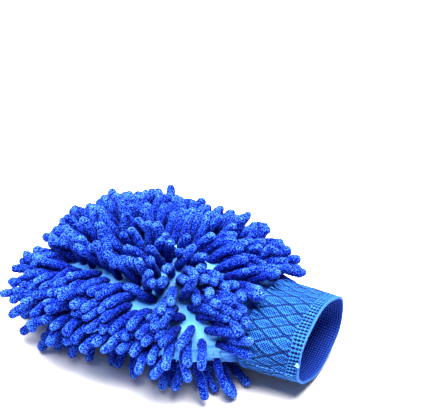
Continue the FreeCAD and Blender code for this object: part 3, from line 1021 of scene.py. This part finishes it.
def knit_material():
    """The elastic band: dark dotted grooves in a speckled ground, a pale welt and a navy inside."""
    made = Nodes("elastic_knit", 0.8, 0.03, (0.6, 0.85, 1.0))
    across = made.math("SINE", made.math("MULTIPLY", made.value("around"), 2 * math.pi / DOT_PITCH), 0)
    lengthwise = made.math("SINE", made.math("MULTIPLY", made.value("along"), 2 * math.pi / DOT_PITCH), 0)
    speckle = made.math("MULTIPLY", across, lengthwise)
    slow = made.math("MULTIPLY", made.noise(80), 0.4)
    ground = made.ramp(
        made.math("ADD", made.math("MULTIPLY", speckle, 0.5), made.math("ADD", slow, 0.3)),
        [(0.12, (0.0, 0.004, 0.07)), (0.5, (0.001, 0.033, 0.22)), (0.88, (0.040, 0.21, 0.64))],
    )
    beaded = made.mix(made.value("raised"), ground, (0.050, 0.23, 0.60))
    grooved = made.mix(made.value("groove"), beaded, (0.0, 0.002, 0.04))
    dotted = made.math("MULTIPLY", made.value("raised"), made.math("ADD", across, 1.2))
    lined = made.mix(made.math("MULTIPLY", dotted, 0.45), (0.001, 0.010, 0.13), (0.07, 0.19, 0.9))
    sided = made.mix(made.value("inside"), grooved, lined)
    colour = made.mix(made.math("MULTIPLY", made.value("welt"), 0.8), sided, (0.06, 0.24, 0.75))
    return made.finish(colour, speckle, 0.0003, 0.6)


def thread_material(name, deep, light):
    """Sewing thread, twisted."""
    made = Nodes(name, 0.55, 0.2, (0.7, 0.85, 1.0))
    twist = made.noise(3000, 1.0)
    colour = made.ramp(twist, [(0.3, deep), (0.7, light)])
    return made.finish(colour, twist, 0.0001, 0.5)


# --- The object, the stage and the camera ---------------------------------------------------


def make_stage():
    """A pale floor that runs out of sight."""
    mesh = bpy.data.meshes.new("floor")
    reach = 6.0
    corners = [(-reach, -reach, 0), (reach, -reach, 0), (reach, reach, 0), (-reach, reach, 0)]
    mesh.from_pydata(corners, [], [(0, 1, 2, 3)])
    floor = bpy.data.objects.new("floor", mesh)
    bpy.context.scene.collection.objects.link(floor)
    material = bpy.data.materials.new("pale_floor")
    material.use_nodes = True
    shader = material.node_tree.nodes["Principled BSDF"]
    shader.inputs["Base Color"].default_value = (0.90, 0.87, 0.84, 1)
    shader.inputs["Roughness"].default_value = 0.8
    shader.inputs["Specular IOR Level"].default_value = 0.1
    mesh.materials.append(material)


def area_light(name, place, aim, size, power, colour):
    """A soft rectangular light."""
    light = bpy.data.lights.new(name, "AREA")
    light.shape = "RECTANGLE"
    light.size, light.size_y = size
    light.energy = power
    light.color = colour
    lamp = bpy.data.objects.new(name, light)
    lamp.location = place
    lamp.rotation_euler = (Vector(aim) - Vector(place)).to_track_quat("-Z", "Y").to_euler()
    bpy.context.scene.collection.objects.link(lamp)


def sun_light(name, place, spread, strength):
    """A soft light that shines evenly, from the direction of place, all over the floor."""
    light = bpy.data.lights.new(name, "SUN")
    light.angle = spread
    light.energy = strength
    lamp = bpy.data.objects.new(name, light)
    lamp.location = place
    lamp.rotation_euler = (-Vector(place)).to_track_quat("-Z", "Y").to_euler()
    bpy.context.scene.collection.objects.link(lamp)


def make_lights():
    """A pale world, a soft light from high up and a little behind, and weak ones from left and front."""
    world = bpy.data.worlds.new("studio")
    world.use_nodes = True
    world.node_tree.nodes["Background"].inputs["Color"].default_value = (0.95, 0.97, 1.0, 1)
    world.node_tree.nodes["Background"].inputs["Strength"].default_value = 0.12
    bpy.context.scene.world = world
    sun_light("top_light", (-0.08, 0.12, 1.3), math.radians(60), 11.5)
    area_light("left_light", (-1.1, -0.5, 0.8), (0, 0, 0.04), (0.6, 0.6), 2, (1, 1, 1))
    area_light("front_light", (0.7, -1.2, 0.7), (0, 0, 0.04), (0.8, 0.8), 1.5, (1, 1, 1))


def make_camera():
    """The camera looks down on the mitt from the front, a little towards its open end."""
    azimuth, elevation, distance = math.radians(26.6), math.radians(35.8), 1.69
    back = Vector(
        (
            math.sin(azimuth) * math.cos(elevation),
            -math.cos(azimuth) * math.cos(elevation),
            math.sin(elevation),
        )
    )
    data = bpy.data.cameras.new("camera")
    data.lens = 155.9
    data.sensor_width = 36.0
    camera = bpy.data.objects.new("camera", data)
    camera.location = Vector((-0.0414, 0.1667, 0.0)) + back * distance
    camera.rotation_euler = (-back).to_track_quat("-Z", "Y").to_euler()
    bpy.context.scene.collection.objects.link(camera)
    bpy.context.scene.camera = camera


def make_mitt():
    """Every visible piece of the mitt."""
    rows, roots = make_fingers(pile_material())
    base_cloth = cloth_material("base_cloth", (0.07, 0.27, 0.78), (0.23, 0.52, 0.90))
    lining_cloth = cloth_material("lining_cloth", (0.01, 0.05, 0.4), (0.03, 0.13, 0.62))
    top, top_lining, bottom, bottom_lining, neck = make_cloth(base_cloth, lining_cloth, roots)
    cuff = make_cuff(knit_material())
    make_knot(thread_material("pale_thread", (0.15, 0.42, 0.80), (0.35, 0.68, 1.0)))
    thread = thread_material("sewing_thread", (0.02, 0.12, 0.6), (0.08, 0.3, 0.9))
    for name in ("side_seam_stitches", "cuff_attaching_stitches", "cuff_closing_stitches"):
        NODES[name].data.materials.clear()
        NODES[name].data.materials.append(thread)


bpy.context.scene.view_settings.view_transform = "Standard"
bpy.context.scene.view_settings.look = "Medium High Contrast"
make_mitt()
make_stage()
make_lights()
make_camera()
